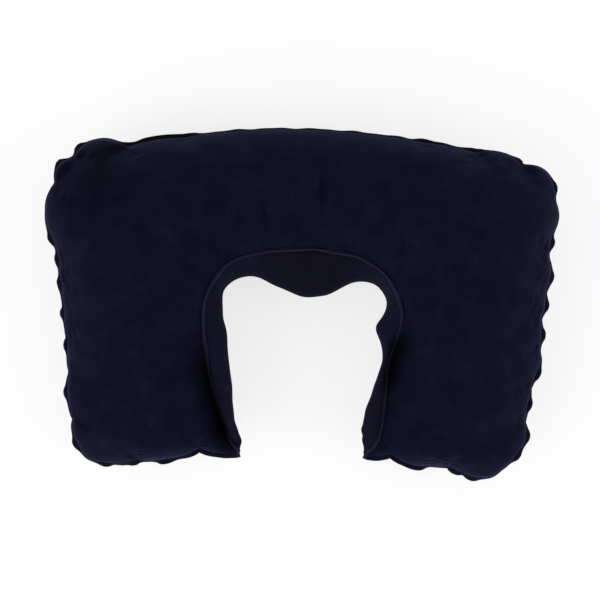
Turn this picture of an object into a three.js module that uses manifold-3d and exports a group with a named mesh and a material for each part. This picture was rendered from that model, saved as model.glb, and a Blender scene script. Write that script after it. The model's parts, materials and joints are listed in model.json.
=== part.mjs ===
// Inflatable U-shaped neck pillow of flocked vinyl film, lying on its back panel.
// Millimetres, +Z up, front panel up, the U opens towards -Y, origin on the ground under the middle.
//
// Two U-shaped panels are welded together round the outer edge. Round the neck a third strip, the neck
// wall, is welded between them, and it tapers away to the two leg tips. The films hold the air.
// A push-in valve sits in the back panel at the end of one leg: a weld disc inside the film, a soft
// diaphragm, a stem with a one-way flap at its inner end, and a plug on a strap.
import * as THREE from "three";
import { mergeVertices } from "three/addons/utils/BufferGeometryUtils.js";
import Module from "manifold-3d";

// Overall
const overallWidth = 405; // over the trimmed edge, at the shoulders
const overallDepth = 272; // crown of the back edge to the lowest point of a leg end
const domeHeight = 45; // top of a panel above the seam plane
const restFlat = 2.5; // how much the underside is pressed flat where it lies

// Film and welds
const filmThickness = 0.6; // vinyl with its flock
const weldGap = 0.1; // between the facing films of a weld
const flangeWidth = 4; // outer weld flange, weld line to trimmed edge
const lipWidth = 3.5; // neck weld lip, weld line to trimmed edge
const lipRise = THREE.MathUtils.degToRad(25); // the neck lip's angle above level

// Outer weld line
const crownRise = 14; // the back edge bows out by this
const crownHalfWidth = 137; // middle to the start of the shoulder curve
const shoulderFullness = 0.6; // how far the crown's line runs on before it turns down
const shoulderDrop = 62; // crown to the widest level
const legEndWidth = 350; // over the weld lines, where the leg end starts to round
const legEndRadius = 38;
const tipRise = 11; // leg tip above the lowest point of the leg end

// Neck weld line
const neckWidth = 156;
const neckRise = 54; // height of the half ellipse round the neck
const bandDepth = 96; // crown weld line to neck weld line, on the middle
const tipGap = 106; // between the weld lines at the two leg tips
const legBow = 34; // how far down the leg the neck keeps its full width
const legDraw = 0.45; // how soon the leg's neck side draws in to the tip, 0 soonest and 1 latest
const neckWallHeight = 62; // weld line to weld line
const tipWallHeight = 3;
const wallTaper = 3; // power of the place along the leg by which the wall loses its height
const neckWallBulge = 13; // the neck wall's bow towards the neck, down the legs
const crownBulge = 32; // the same in the middle of the back, where the film is slack
const crownBulgeEnd = 0.26; // where that has faded out, as a share of half the neck weld line

// Valve seat in the back panel
const valveFromMiddle = 120;
const valveFromLegEnd = 31;
const seatSink = 0.8; // the flat seat lies this far inside the dome's tangent plane
const seatMargin = 2; // flat film beyond the weld disc
const seatBlend = 6; // from the flat seat out to the dome's own facets

// Valve, turned about its own axis: radii, and depths from the film's outer face
const moulding = 0.3; // gap between valve parts that are welded or moulded together
const stemTravel = 12;
const boreRadius = 2.7;
const stemWall = 1.3;
const footWidth = 1.6; // stem's foot beyond its wall
const footThickness = 0.9;
const collarWidth = 0.7;
const collarThickness = 1.4;
const capThickness = 1.3;
const capSink = 0.2; // the cap's face lies this far inside the film's outer face
const shankClearance = 0.1;
const shankLength = 6.5;
const tabLength = 2.5; // pull tab beyond the cap
const tabWidth = 3.6;
const strapWidth = 1.4;
const strapThickness = 0.5;
const strapTurn = THREE.MathUtils.degToRad(150); // how far the strap runs round the collar
const strapSag = 2.4; // its spare length hangs this much below a straight run
const strapSteps = 24;
const flapMargin = 0.9; // flap beyond the bore
const skinThickness = 0.5; // flap and diaphragm
const sleeveTaper = 1.2; // the diaphragm narrows by this to its floor
const rimWidth = 3; // diaphragm's rim under the weld disc
const recessGap = 1.1; // hole in the film beyond the tab and the strap
const discWidth = 4.5; // weld disc beyond the hole
const discThickness = 0.8;

// Facets
const alongCount = 28; // steps along half of the U
const acrossCount = 10; // steps across the band
const wallCount = 5; // steps down the neck wall
const turnCount = 32; // facets of a turned part
const endBias = 0.7; // how much the steps along the U shorten towards the leg end
const relaxPasses = 600; // passes that settle the dome
const relaxReach = 1.7; // each pass goes this many times the way to the mean, to settle sooner

// Derived levels and edges
const seamLevel = domeHeight - restFlat;
const backEdge = overallDepth / 2 - flangeWidth;
const legEnd = flangeWidth - overallDepth / 2;
const outerHalf = overallWidth / 2 - flangeWidth;

const wasm = await Module();
wasm.setup();

const arcHandle = 0.55; // a Bezier handle's length for a quarter turn, as a share of its radius
const flat = (x, y) => new THREE.Vector2(x, y);
const { lerp } = THREE.MathUtils;

// ---- Weld lines of the right half, each from the middle of the back to the leg tip's end ----

function outerWeld() {
  const crown = flat(0, backEdge);
  const shoulder = flat(crownHalfWidth, backEdge - crownRise);
  const widest = flat(outerHalf, backEdge - shoulderDrop);
  const knee = flat(legEndWidth / 2, legEnd + legEndRadius);
  const toe = flat(legEndWidth / 2 - legEndRadius, legEnd);
  const slope = (2 * crownRise) / crownHalfWidth;
  const lean = (widest.x - knee.x) / (widest.y - knee.y);
  const reach = shoulderFullness * (widest.x - shoulder.x);
  const lift = arcHandle * (shoulder.y - widest.y);
  const round = arcHandle * legEndRadius;
  const path = new THREE.CurvePath();
  path.add(new THREE.QuadraticBezierCurve(crown, flat(crownHalfWidth / 2, backEdge), shoulder));
  const shoulderEnd = flat(widest.x, widest.y + lift);
  const shoulderStart = flat(shoulder.x + reach, shoulder.y - reach * slope);
  path.add(new THREE.CubicBezierCurve(shoulder, shoulderStart, shoulderEnd, widest));
  const sideStart = flat(widest.x, widest.y - legEndRadius);
  const sideEnd = flat(knee.x + lean * legEndRadius, knee.y + legEndRadius);
  path.add(new THREE.CubicBezierCurve(widest, sideStart, sideEnd, knee));
  const kneeEnd = flat(knee.x - lean * round, knee.y - round);
  path.add(new THREE.CubicBezierCurve(knee, kneeEnd, flat(toe.x + round, toe.y), toe));
  return path;
}

function neckWeld() {
  const side = flat(neckWidth / 2, backEdge - bandDepth - neckRise);
  const tip = flat(tipGap / 2, legEnd + tipRise);
  const path = new THREE.CurvePath();
  path.add(new THREE.EllipseCurve(0, side.y, neckWidth / 2, neckRise, Math.PI / 2, 0, true));
  const bow = flat(side.x, side.y - legBow);
  const lead = flat(lerp(tip.x, side.x, legDraw), tip.y + legBow);
  path.add(new THREE.CubicBezierCurve(side, bow, lead, tip));
  return path;
}

// Place along half of the U at a step, 0 at the middle and 1 at the tip.
function along(step) {
  const s = Math.abs(step) / alongCount;
  return lerp(s, Math.sin((s * Math.PI) / 2), endBias);
}

// Half the neck wall's height at a place along the U.
function halfWall(place) {
  return lerp(neckWallHeight, tipWallHeight, place ** wallTaper) / 2;
}

// The neck wall's bow towards the neck at a place along the U, in keeping with its height.
function wallBulge(place) {
  const fade = THREE.MathUtils.smoothstep(place, 0, crownBulgeEnd);
  return (lerp(crownBulge, neckWallBulge, fade) * halfWall(place)) / halfWall(0);
}

// ---- The band, laid flat: rows run from the left leg end to the right one, columns outwards ----

const rowCount = 2 * alongCount + 1;
const rowSize = acrossCount + 1;
const rows = [...Array(rowCount).keys()];
const columns = [...Array(rowSize).keys()];
const at = (row, column) => row * rowSize + column;
const placeOf = (row) => along(row - alongCount);

// The neck weld line from left tip to right tip, and the outer edge from left tip to right tip.
const neckEdge = rows.map((row) => at(row, 0));
const outerEdge = [
  ...columns.map((column) => at(0, column)),
  ...rows.slice(1).map((row) => at(row, acrossCount)),
  ...columns.slice(0, -1).reverse().map((column) => at(rowCount - 1, column)),
];

// Whether a vertex of the band lies inside its welded edges.
const isFree = (i) => i < rowCount * rowSize && !neckEdge.includes(i) && !outerEdge.includes(i);

function bandPoints() {
  const outer = outerWeld();
  const neck = neckWeld();
  return rows.flatMap((row) => {
    const side = row < alongCount ? -1 : 1;
    const a = neck.getPoint(placeOf(row));
    const b = outer.getPoint(placeOf(row));
    return columns.map((column) => {
      const across = Math.sin(((column / acrossCount) * Math.PI) / 2);
      return new THREE.Vector3(side * lerp(a.x, b.x, across), lerp(a.y, b.y, across), 0);
    });
  });
}

// The triangles of a grid whose rows are size points long, turned so that row x column faces out.
function gridTriangles(count, size) {
  const triangles = [];
  for (let row = 0; row + 1 < count; row++)
    for (let column = 0; column + 1 < size; column++) {
      const a = row * size + column;
      const b = a + size;
      triangles.push([a, b, b + 1], [a, b + 1, a + 1]);
    }
  return triangles;
}

// The square of a blown-up membrane's height solves Poisson's equation, which gives the round, upright
// edge of an air-filled tube. It is held at nothing on the outer weld and half the wall at the neck.
function domeHeights(points, triangles) {
  const links = points.map(() => new Map());
  const area = points.map(() => 0);
  for (const triangle of triangles)
    for (let k = 0; k < 3; k++) {
      const [a, b, c] = [0, 1, 2].map((n) => triangle[(k + n) % 3]);
      const p = points[a].clone().sub(points[c]);
      const q = points[b].clone().sub(points[c]);
      const twice = p.clone().cross(q).length();
      const weight = p.dot(q) / twice;
      links[a].set(b, (links[a].get(b) || 0) + weight);
      links[b].set(a, (links[b].get(a) || 0) + weight);
      area[c] += twice / 3;
    }
  const free = points.map((_, i) => i).filter(isFree);
  const settle = (values, load) => {
    for (let pass = 0; pass < relaxPasses; pass++)
      for (const i of free) {
        let sum = load * area[i];
        let total = 0;
        for (const [j, weight] of links[i]) {
          sum += weight * values[j];
          total += weight;
        }
        values[i] += relaxReach * (sum / total - values[i]);
      }
    return values;
  };
  const held = points.map(() => 0);
  for (const row of rows) held[at(row, 0)] = halfWall(placeOf(row)) ** 2;
  const still = settle(held, 0);
  const raised = settle(points.map(() => 0), 1);
  const top = (domeHeight - filmThickness - weldGap / 2) ** 2;
  const pressure = Math.min(...free.map((i) => (top - still[i]) / raised[i]));
  return still.map((h, i) => Math.sqrt(Math.max(0, h + pressure * raised[i])));
}

// ---- Sheets: open surfaces of triangles, which film() then gives their thickness ----

// The level direction to the left (1) or right (-1) of each point of a line, seen from above.
function sideways(line, hand) {
  return line.map((_, i) => {
    const step = line[Math.min(i + 1, line.length - 1)].clone().sub(line[Math.max(i - 1, 0)]);
    return new THREE.Vector3(-step.y * hand, step.x * hand, 0).normalize();
  });
}

// Adds a strip from the sheet's vertices in edge to the points in trim, on the left of the edge.
function addStrip(sheet, edge, trim) {
  const first = sheet.points.length;
  sheet.points.push(...trim);
  for (let i = 0; i + 1 < edge.length; i++) {
    const next = first + i + 1;
    sheet.triangles.push([edge[i], edge[i + 1], next], [edge[i], next, first + i]);
  }
  return first;
}

// The trimmed edge of the neck lip along a weld line, leaning up (1) or down (-1).
function lipTrim(line, turn) {
  const away = sideways(line, -1);
  const rise = Math.sin(lipRise) * lipWidth * turn;
  return line.map((p, i) => {
    const reach = Math.cos(lipRise) * lipWidth;
    return p.clone().addScaledVector(away[i], reach).add(new THREE.Vector3(0, 0, rise));
  });
}

// The front panel's sheet at its place: dome, outer flange and neck lip.
function panelSheet() {
  const points = bandPoints();
  const triangles = gridTriangles(rowCount, rowSize);
  domeHeights(points, triangles).forEach((height, i) => (points[i].z = seamLevel + height));
  const sheet = { points, triangles };
  const outline = outerEdge.map((i) => points[i]);
  const away = sideways(outline, 1);
  const flange = outline.map((p, i) => p.clone().addScaledVector(away[i], flangeWidth));
  const lip = lipTrim(neckEdge.map((i) => points[i]), 1);
  const flangeStart = addStrip(sheet, outerEdge, flange);
  const lipStart = addStrip(sheet, [...neckEdge].reverse(), lip.reverse());
  const lipEnd = lipStart + rowCount - 1;
  const flangeEnd = flangeStart + outerEdge.length - 1;
  sheet.triangles.push([at(0, 0), flangeStart, lipEnd], [at(rowCount - 1, 0), lipStart, flangeEnd]);
  return sheet;
}

// The same sheet turned over about the seam plane.
function turnedOver({ points, triangles }) {
  return {
    points: points.map((p) => new THREE.Vector3(p.x, p.y, 2 * seamLevel - p.z)),
    triangles: triangles.map(([a, b, c]) => [a, c, b]),
  };
}

// The neck wall: from the front lip's trimmed edge down to the back lip's, bowed towards the neck.
function wallSheet(panel) {
  const line = neckEdge.map((i) => panel.points[i]);
  const level = line.map((p) => new THREE.Vector3(p.x, p.y, seamLevel));
  const away = sideways(level, -1);
  const lower = line.map((p) => new THREE.Vector3(p.x, p.y, 2 * seamLevel - p.z));
  const upperTrim = lipTrim(line, 1);
  const lowerTrim = lipTrim(lower, -1);
  const points = rows.flatMap((row, i) => {
    const half = halfWall(placeOf(row));
    const bulge = wallBulge(placeOf(row));
    const wall = [...Array(wallCount + 1).keys()].map((step) => {
      const down = step / wallCount;
      const p = level[i].clone().addScaledVector(away[i], 4 * down * (1 - down) * bulge);
      return p.setZ(seamLevel + half * (1 - 2 * down));
    });
    return [upperTrim[i], ...wall, lowerTrim[i]];
  });
  const triangles = gridTriangles(rowCount, wallCount + 3).map(([a, b, c]) => [a, c, b]);
  return { points, triangles };
}

// Unit normals of a sheet, one for each vertex.
function sheetNormals({ points, triangles }) {
  const normals = points.map(() => new THREE.Vector3());
  for (const [a, b, c] of triangles) {
    const face = points[b].clone().sub(points[a]);
    face.cross(points[c].clone().sub(points[a])).normalize();
    for (const i of [a, b, c]) normals[i].add(face);
  }
  return normals.map((n) => n.normalize());
}

// The edges of a set of triangles that belong to one triangle only, each as [from, to].
function openEdges(triangles) {
  const edges = new Map();
  for (const [a, b, c] of triangles)
    for (const [p, q] of [[a, b], [b, c], [c, a]])
      if (!edges.delete(`${q},${p}`)) edges.set(`${p},${q}`, [p, q]);
  return [...edges.values()];
}

// The solid film on the side of a sheet that its normals point to. The sheet is the middle of the weld
// gap, and nothing reaches below the ground.
function film(sheet) {
  const { points, triangles } = sheet;
  const normals = sheetNormals(sheet);
  const face = (off, floor) =>
    points.flatMap((point, i) => {
      const p = point.clone().addScaledVector(normals[i], off);
      return [p.x, p.y, Math.max(p.z, floor)];
    });
  const inner = face(weldGap / 2, filmThickness);
  const outer = face(weldGap / 2 + filmThickness, 0);
  const n = points.length;
  const faces = triangles.flatMap(([a, b, c]) => [a, c, b, n + a, n + b, n + c]);
  for (const [p, q] of openEdges(triangles)) faces.push(p, q, n + q, p, n + q, n + p);
  return new THREE.BufferGeometry()
    .setAttribute("position", new THREE.Float32BufferAttribute([...inner, ...outer], 3))
    .setIndex(faces);
}

// ---- Valve radii, from the bore outwards ----

const stemRadius = boreRadius + stemWall;
const footRadius = stemRadius + footWidth;
const collarRadius = stemRadius + collarWidth;
const capRadius = collarRadius; // the cap's edge is flush with the collar's
const strapRadius = collarRadius + moulding + strapThickness / 2;
const tabReach = capRadius + tabLength;
const recessRadius = Math.max(tabReach, strapRadius, footRadius) + recessGap;
const discRadius = recessRadius + discWidth;
const seatRadius = discRadius + seatMargin;

// ---- Valve seat: the back panel's facets round the valve give way to a flat ring with the hole in it ----

// The frame of the valve: its origin on the film's outer face, +Z out of the pillow.
function valveFrame(sheet) {
  const place = new THREE.Vector3(valveFromMiddle, valveFromLegEnd - overallDepth / 2, 0);
  const normals = sheetNormals(sheet);
  let nearest = 0;
  const away = (p) => Math.hypot(p.x - place.x, p.y - place.y);
  sheet.points.forEach((p, i) => {
    if (away(p) < away(sheet.points[nearest])) nearest = i;
  });
  const out = normals[nearest];
  const turn = new THREE.Quaternion().setFromUnitVectors(new THREE.Vector3(0, 0, 1), out);
  const origin = sheet.points[nearest].clone();
  origin.addScaledVector(out, filmThickness + weldGap / 2 - seatSink);
  return new THREE.Matrix4().compose(origin, turn, new THREE.Vector3(1, 1, 1));
}

function withSeat(sheet, frame) {
  const inside = frame.clone().invert();
  const level = -(filmThickness + weldGap / 2);
  const local = sheet.points.map((p) => p.clone().applyMatrix4(inside));
  const isNear = (i) => isFree(i) && Math.hypot(local[i].x, local[i].y) < seatRadius + seatBlend;
  const kept = sheet.triangles.filter((triangle) => !triangle.some(isNear));
  const dropped = sheet.triangles.filter((triangle) => triangle.some(isNear));
  const next = new Map(openEdges(dropped));
  const loop = [next.keys().next().value];
  while (next.get(loop.at(-1)) !== loop[0]) loop.push(next.get(loop.at(-1)));
  const angles = loop.map((i) => Math.atan2(local[i].y, local[i].x));
  const turns = loop.flatMap((_, k) => {
    const step = (angles[(k + 1) % loop.length] - angles[k] + 4 * Math.PI) % (2 * Math.PI);
    return [angles[k], angles[k] + step / 2];
  });
  const points = [...sheet.points];
  const ring = (radius) => {
    const first = points.length;
    for (const turn of turns)
      points.push(
        new THREE.Vector3(radius * Math.cos(turn), radius * Math.sin(turn), level).applyMatrix4(frame),
      );
    return (k) => first + (k % turns.length);
  };
  const rim = ring(seatRadius);
  const hole = ring(recessRadius);
  const triangles = [...kept];
  loop.forEach((p, k) => {
    const q = loop[(k + 1) % loop.length];
    const [a, b, c] = [rim(2 * k), rim(2 * k + 1), rim(2 * k + 2)];
    triangles.push([p, b, a], [p, q, b], [q, c, b]);
  });
  turns.forEach((_, k) => {
    const [a, b] = [rim(k), rim(k + 1)];
    triangles.push([a, b, hole(k + 1)], [a, hole(k + 1), hole(k)]);
  });
  const used = [...new Set(triangles.flat())];
  const renumbered = new Map(used.map((i, k) => [i, k]));
  return {
    points: used.map((i) => points[i]),
    triangles: triangles.map((triangle) => triangle.map((i) => renumbered.get(i))),
  };
}

// ---- Valve parts, in the valve's frame ----

const capBase = -(capSink + capThickness);
const stemTop = capBase - moulding;
const discTop = -(filmThickness + moulding);
const rimTop = discTop - discThickness - moulding;
const footTop = stemTop + collarThickness - stemTravel;
const stemBottom = footTop - footThickness;
const floorTop = footTop + moulding + skinThickness;
const flapTop = stemBottom - moulding;
const flapHinge = stemRadius; // the flap turns about a line this far from the axis

// A closed profile of [radius, level] corners, turned about the valve's axis.
function turned(corners) {
  const profile = [...corners, corners[0]].map(([radius, level]) => flat(radius, level));
  return new THREE.LatheGeometry(profile, turnCount).rotateX(Math.PI / 2);
}

function discShape() {
  const bottom = discTop - discThickness;
  return turned([
    [recessRadius, bottom],
    [discRadius, bottom],
    [discRadius, discTop],
    [recessRadius, discTop],
  ]);
}

function diaphragmShape() {
  const wall = recessRadius - skinThickness;
  const floor = wall - sleeveTaper;
  return turned([
    [stemRadius + moulding, floorTop - skinThickness],
    [floor + skinThickness, floorTop - skinThickness],
    [recessRadius, rimTop - skinThickness],
    [recessRadius + rimWidth, rimTop - skinThickness],
    [recessRadius + rimWidth, rimTop],
    [wall, rimTop],
    [floor, floorTop],
    [stemRadius + moulding, floorTop],
  ]);
}

function stemShape() {
  return turned([
    [boreRadius, stemBottom],
    [footRadius, stemBottom],
    [footRadius, footTop],
    [stemRadius, footTop],
    [stemRadius, stemTop - collarThickness],
    [collarRadius, stemTop - collarThickness],
    [collarRadius, stemTop],
    [boreRadius, stemTop],
  ]);
}

// manifold-3d solid of a closed geometry, and the geometry of a solid.
function solidOf(geometry) {
  geometry.deleteAttribute("normal");
  geometry.deleteAttribute("uv");
  const merged = mergeVertices(geometry, 1e-4);
  const vertProperties = merged.attributes.position.array;
  return new wasm.Manifold(
    new wasm.Mesh({ numProp: 3, vertProperties, triVerts: new Uint32Array(merged.index.array) }),
  );
}

function geometryOf(solid) {
  const mesh = solid.getMesh();
  return new THREE.BufferGeometry()
    .setAttribute("position", new THREE.BufferAttribute(mesh.vertProperties, 3))
    .setIndex(new THREE.BufferAttribute(mesh.triVerts, 1));
}

// Cap, shank with a small lead-in, and a pull tab on the side away from the strap.
function plugShape() {
  const shank = boreRadius - shankClearance;
  const shankEnd = capBase - shankLength;
  const leadIn = shank / 4;
  const body = new THREE.LatheGeometry(
    [
      flat(0, shankEnd),
      flat(shank - leadIn, shankEnd),
      flat(shank, shankEnd + leadIn),
      flat(shank, capBase),
      flat(capRadius, capBase),
      flat(capRadius, -capSink),
      flat(0, -capSink),
    ],
    turnCount,
  ).rotateX(Math.PI / 2);
  const tab = new THREE.BoxGeometry(tabReach, tabWidth, capThickness);
  tab.translate(tabReach / 2, 0, capBase + capThickness / 2);
  return geometryOf(solidOf(body).add(solidOf(tab)));
}

// A flat strap on edge, from the collar round the side away from the tab, and up to the cap.
function strapShape() {
  const start = stemTop - collarThickness / 2;
  const end = capBase + capThickness / 2;
  const strap = new THREE.BoxGeometry(1, strapThickness, strapWidth, strapSteps, 1, 1);
  const position = strap.attributes.position;
  for (let i = 0; i < position.count; i++) {
    const share = position.getX(i) + 0.5;
    const angle = Math.PI + strapTurn * (share - 0.5);
    const radius = strapRadius - position.getY(i);
    const sag = strapSag * Math.sin(Math.PI * share) ** 2;
    const level = lerp(start, end, share) - sag + position.getZ(i);
    position.setXYZ(i, radius * Math.cos(angle), radius * Math.sin(angle), level);
  }
  return strap;
}

// A disc over the bore's inner end with a straight edge on its hinge line.
function flapShape() {
  const radius = boreRadius + flapMargin;
  const shape = new THREE.Shape();
  const hingeHalf = radius / 2;
  shape.moveTo(-flapHinge, hingeHalf);
  shape.lineTo(-flapHinge, -hingeHalf);
  const start = Math.atan2(-hingeHalf, -Math.sqrt(radius ** 2 - hingeHalf ** 2));
  shape.absarc(0, 0, radius, start, -start, false);
  const settings = { depth: skinThickness, bevelEnabled: false, curveSegments: turnCount };
  return new THREE.ExtrudeGeometry(shape, settings).translate(0, 0, flapTop - skinThickness);
}

// ---- Assembly ----

const flock = new THREE.MeshStandardMaterial({ color: 0x15152a, roughness: 0.95, metalness: 0 });
const vinyl = new THREE.MeshStandardMaterial({ color: 0x1a1b33, roughness: 0.45, metalness: 0 });

function named(name, geometry, material) {
  const mesh = new THREE.Mesh(geometry, material);
  mesh.name = name;
  return mesh;
}

const frontSheet = panelSheet();
const backSheet = turnedOver(frontSheet);
const seat = valveFrame(backSheet);

const valve = new THREE.Group();
valve.applyMatrix4(seat);
valve.add(
  named("valve_weld_disc", discShape(), vinyl),
  named("valve_diaphragm", diaphragmShape(), vinyl),
  named("valve_stem", stemShape(), vinyl),
  named("valve_flap", flapShape(), vinyl),
  named("valve_plug", plugShape(), vinyl),
  named("plug_strap", strapShape(), vinyl),
);

const pillow = new THREE.Group();
pillow.add(
  named("front_panel", film(frontSheet), flock),
  named("back_panel", film(withSeat(backSheet, seat)), flock),
  named("neck_wall", film(wallSheet(frontSheet)), flock),
  valve,
);

export default pillow;
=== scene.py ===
# Inflatable U-shaped neck pillow: flocked film skins, their welds and a push-in valve.
# Meshes are worked out in millimetres and made in metres. The pillow lies on its back panel.
import json
import math

import bpy
import numpy as np
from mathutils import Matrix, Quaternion, Vector


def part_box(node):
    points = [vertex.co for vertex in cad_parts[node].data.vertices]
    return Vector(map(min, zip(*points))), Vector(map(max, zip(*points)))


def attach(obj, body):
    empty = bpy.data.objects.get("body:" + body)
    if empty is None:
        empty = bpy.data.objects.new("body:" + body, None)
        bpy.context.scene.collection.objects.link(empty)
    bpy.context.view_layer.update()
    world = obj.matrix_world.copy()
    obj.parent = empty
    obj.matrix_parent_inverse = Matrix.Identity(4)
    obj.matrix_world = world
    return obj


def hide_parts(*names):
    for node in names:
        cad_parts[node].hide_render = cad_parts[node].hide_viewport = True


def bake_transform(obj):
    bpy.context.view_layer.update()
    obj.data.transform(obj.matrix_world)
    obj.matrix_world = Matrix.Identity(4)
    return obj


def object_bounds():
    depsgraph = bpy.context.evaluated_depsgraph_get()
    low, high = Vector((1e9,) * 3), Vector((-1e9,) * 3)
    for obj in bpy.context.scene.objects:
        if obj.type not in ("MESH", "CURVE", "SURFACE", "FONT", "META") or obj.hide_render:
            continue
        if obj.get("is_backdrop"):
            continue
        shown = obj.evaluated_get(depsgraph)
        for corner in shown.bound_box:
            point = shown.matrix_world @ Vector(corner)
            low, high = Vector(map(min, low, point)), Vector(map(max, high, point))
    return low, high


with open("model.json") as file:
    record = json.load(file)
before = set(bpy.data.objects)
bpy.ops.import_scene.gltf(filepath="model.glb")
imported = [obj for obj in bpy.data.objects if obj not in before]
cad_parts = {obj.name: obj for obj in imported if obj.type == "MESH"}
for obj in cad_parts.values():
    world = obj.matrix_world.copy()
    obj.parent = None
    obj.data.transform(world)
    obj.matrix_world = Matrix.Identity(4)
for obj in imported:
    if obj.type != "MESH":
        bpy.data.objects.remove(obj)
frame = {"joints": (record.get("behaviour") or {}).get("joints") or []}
cadLow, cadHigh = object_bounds()
mm = 0.001
scene = bpy.context.scene
joints = {joint["name"]: joint for joint in frame["joints"]}

pillow = {
    "film": 0.6, "weldGap": 0.1,
    "flangeWidth": 4.0, "lipRise": 60.0,
    "crownRise": 14.0, "crownHalfWidth": 137.0, "shoulderFullness": 0.6, "shoulderDrop": 62.0,
    "legEndWidth": 350.0, "legEndRadius": 38.0, "tipRise": 11.0,
    "neckWidth": 156.0, "neckRise": 54.0, "bandDepth": 96.0, "tipGap": 106.0,
    "legBow": 34.0, "legDraw": 0.45, "frameShare": 0.9,  # of the dome's height, before the air
    "wallHeight": 62.0, "tipWallHeight": 2.0, "wallTaper": 2.2,
    "halfRows": 130, "columns": 34, "wallColumns": 22, "rowCrowding": 0.7, "columnCrowding": 0.3,
}
# Pinches of the outer weld, left (-) and right (+): [mm along the weld from the middle of the back, depth]
pinches = [
    [-507, 4.5], [-484, 0.6], [-460, 3.0], [-431, 1.2], [-391, 2.6], [-354, 3.0], [-328, 1.6],
    [-304, 1.7], [-285, 1.7], [-266, 1.2], [-204, 3.2], [-184, 3.6], [-141, 3.4], [-96, 0.4],
    [94, 0.5], [137, 2.2], [174, 4.0], [211, 1.8], [256, 2.2], [284, 2.0], [307, 2.0], [332, 2.0],
    [362, 2.4], [388, 2.2], [412, 1.0], [430, 0.8], [470, 2.4], [484, 1.0], [515, 3.6],
]
# How far the blown-up film draws the outer weld out (+) or in (-), by the same distance
drift = [
    [-532, 0.8], [-507, -3.4], [-484, -0.8], [-460, -0.8], [-440, -1.4], [-430, 2.2], [-420, 6.0],
    [-412, 4.8], [-398, 5.0], [-391, 3.8], [-370, 3.8], [-354, 3.0], [-338, 0.0], [-325, -1.2],
    [-310, -0.8], [-295, -0.6], [-275, -1.6], [-254, -1.2], [-238, 5.8], [-222, 6.0], [-212, 6.4],
    [-205, 4.0], [-198, 11.6], [-191, 13.8], [-183, 11.0], [-172, 16.6], [-158, 14.8], [-148, 9.4],
    [-141, 2.8], [-130, 2.6], [-112, 3.4], [-98, 2.2], [-80, 2.8], [-40, 3.2], [0, 2.8], [40, 2.0],
    [88, 0.8], [130, 0.6], [148, 6.0], [160, 7.4], [174, 4.2], [188, 10.2], [200, 6.5], [210, 2.6],
    [224, 3.6], [244, -3.0], [256, -1.8], [266, 0.6], [284, 0.6], [318, -0.4], [340, 5.0], [352, 0.4],
    [362, 1.4], [376, -2.0], [402, 3.2], [420, 1.8], [436, 5.2], [450, 4.8], [470, 1.2], [480, 2.0],
    [496, 3.0], [515, -0.6], [532, 0.8],
]
# The same for the neck weld, towards the opening (+)
neckDrift = [
    [-211, 4.5], [-206, 2.0], [-200, -0.2], [-188, -1.1], [-163, -1.3], [-139, 0.0], [-110, 1.1],
    [-95, 0.7], [-84, -0.2], [-74, -1.6], [-62, -3.4], [-49, -2.5], [-37, -1.0], [-25, 0.5], [0, 2.2],
    [25, 0.8], [44, -1.6], [63, -1.6], [79, -0.2], [100, 1.0], [112, 1.6], [126, 4.4], [138, 5.4],
    [157, 3.6], [174, -0.8], [188, -3.8], [198, -4.4], [204, -3.0], [208, -0.4], [211, 2.6],
]
# How deep the front neck weld is sunk between its two skins
sinking = [
    [-211, 0.0], [-203, 5.0], [-190, 13.0], [-160, 12.0], [-142, 8.0], [-124, 3.0], [-108, 0.0],
    [110, 0.0], [120, 7.0], [130, 12.0], [148, 10.0], [164, 4.0], [188, 3.0], [204, 0.0],
]
# The weld line rises and dips between its pinches: [mm along the weld, share of the wave]
wave = {
    "height": 2.2, "phase": 0.6,
    "shares": [[-530, 0], [-480, 1], [-130, 1], [-60, .3], [60, .3], [130, 1], [480, 1], [530, 0]],
}
pinchReach, endFade = 6.0, 10.0  # mm along the outer weld


def lerp(a, b, t):
    return a + (b - a) * t


def smooth(t):
    t = np.clip(t, 0, 1)
    return t * t * (3 - 2 * t)


def unit(v):
    return v / np.maximum(np.linalg.norm(v, axis=-1, keepdims=True), 1e-9)


def bezier(*handles, count=160):
    t = np.linspace(0, 1, count)[:, None]
    level = [np.repeat(np.array([h], float), count, 0) for h in handles]
    while len(level) > 1:
        level = [lerp(a, b, t) for a, b in zip(level, level[1:])]
    return level[0]


def distances(line):
    return np.concatenate([[0], np.cumsum(np.linalg.norm(np.diff(line, axis=0), axis=1))])


def walk(line, share):
    far = distances(line)
    return np.stack([np.interp(share * far[-1], far, line[:, k]) for k in range(line.shape[1])], 1)


# Sizes taken from the frame
frontLow, frontHigh = (np.array(c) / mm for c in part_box("front_panel"))
seamLevel = (frontLow[2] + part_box("back_panel")[1][2] / mm) / 2
outerFace = pillow["film"] + pillow["weldGap"] / 2
domeTop = (frontHigh[2] - seamLevel - outerFace) * pillow["frameShare"]
backEdge = frontHigh[1] - pillow["flangeWidth"]
legEnd = frontLow[1] + pillow["flangeWidth"]
outerHalf = (frontHigh[0] - frontLow[0]) / 2 - pillow["flangeWidth"]
handle = 0.55  # a Bezier handle's length for a quarter turn, as a share of its radius


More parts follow.
